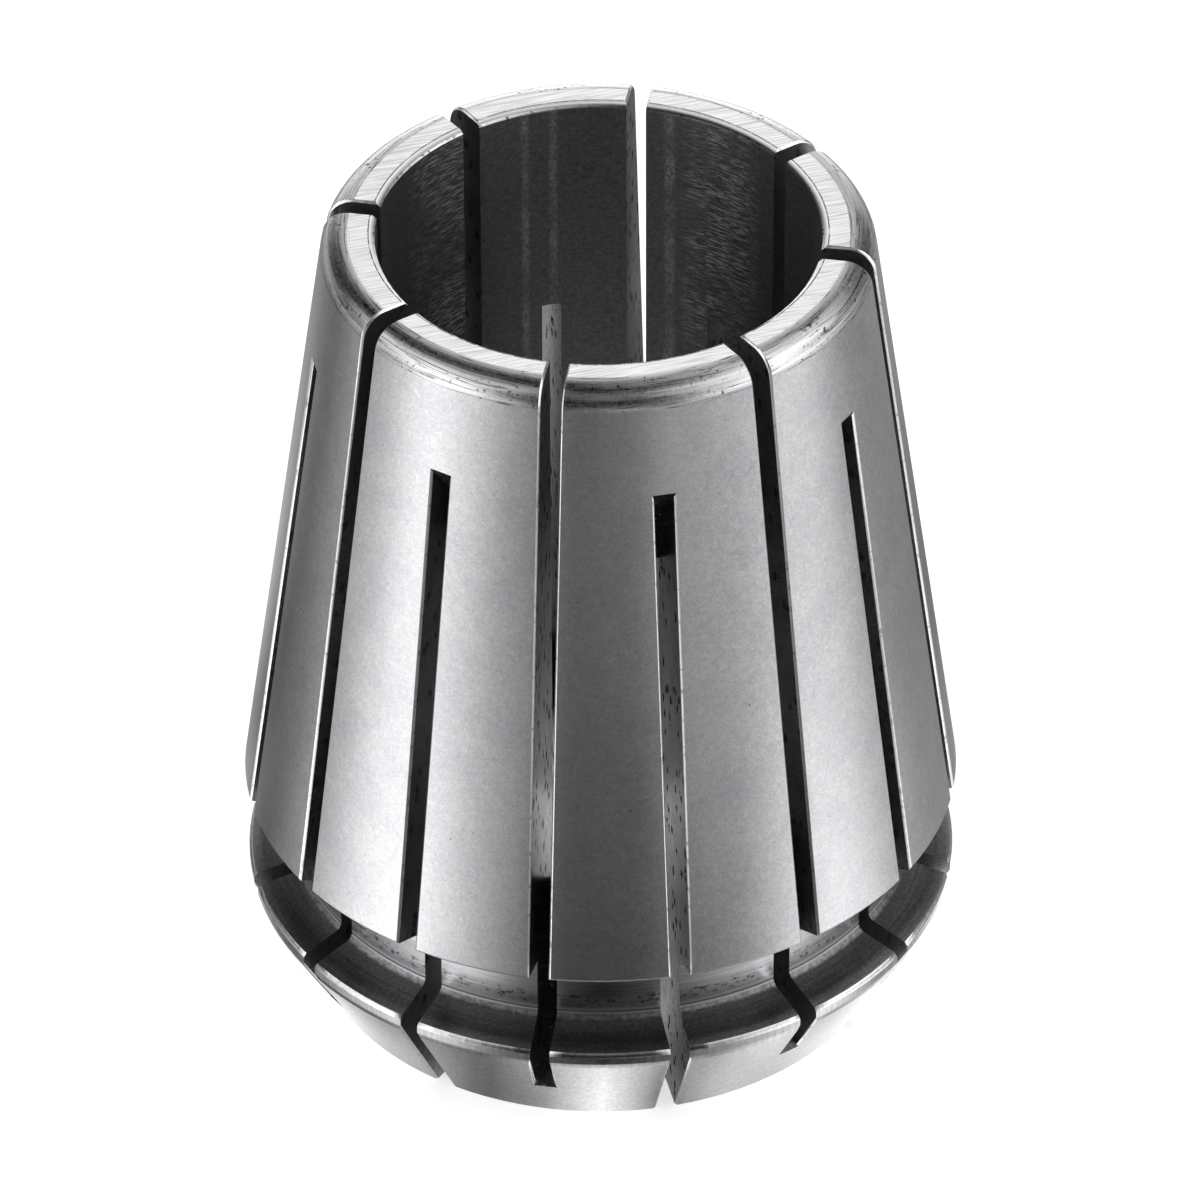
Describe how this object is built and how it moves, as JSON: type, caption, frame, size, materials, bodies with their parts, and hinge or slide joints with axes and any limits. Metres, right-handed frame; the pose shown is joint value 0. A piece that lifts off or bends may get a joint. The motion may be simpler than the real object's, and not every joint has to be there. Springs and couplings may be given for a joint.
{
  "type": "er collet",
  "caption": "Spring collet: a slotted steel sleeve with a long body taper, a nut groove and a short nose taper, squeezed radially so that its bore grips a round tool shank.",
  "frame": {"origin": "centre of the flat nose face, the wide end that the nut covers and that the tool comes out of", "axes": "+Z along the axis of the bore, from the nose face to the narrow end; +X through the middle of a slot sawn from the narrow end, and the nearest slots sawn from the nose are half a slot step (22.5 degrees) to either side of it"},
  "size_m": [0.033, 0.033, 0.04],
  "materials": {
    "ground_steel": "hardened steel with a satin ground and finely turned surface; slot walls darker and pitted, bore dark"
  },
  "bodies": {
    "root": {"collet": "ground_steel"}
  },
  "joints": []
}
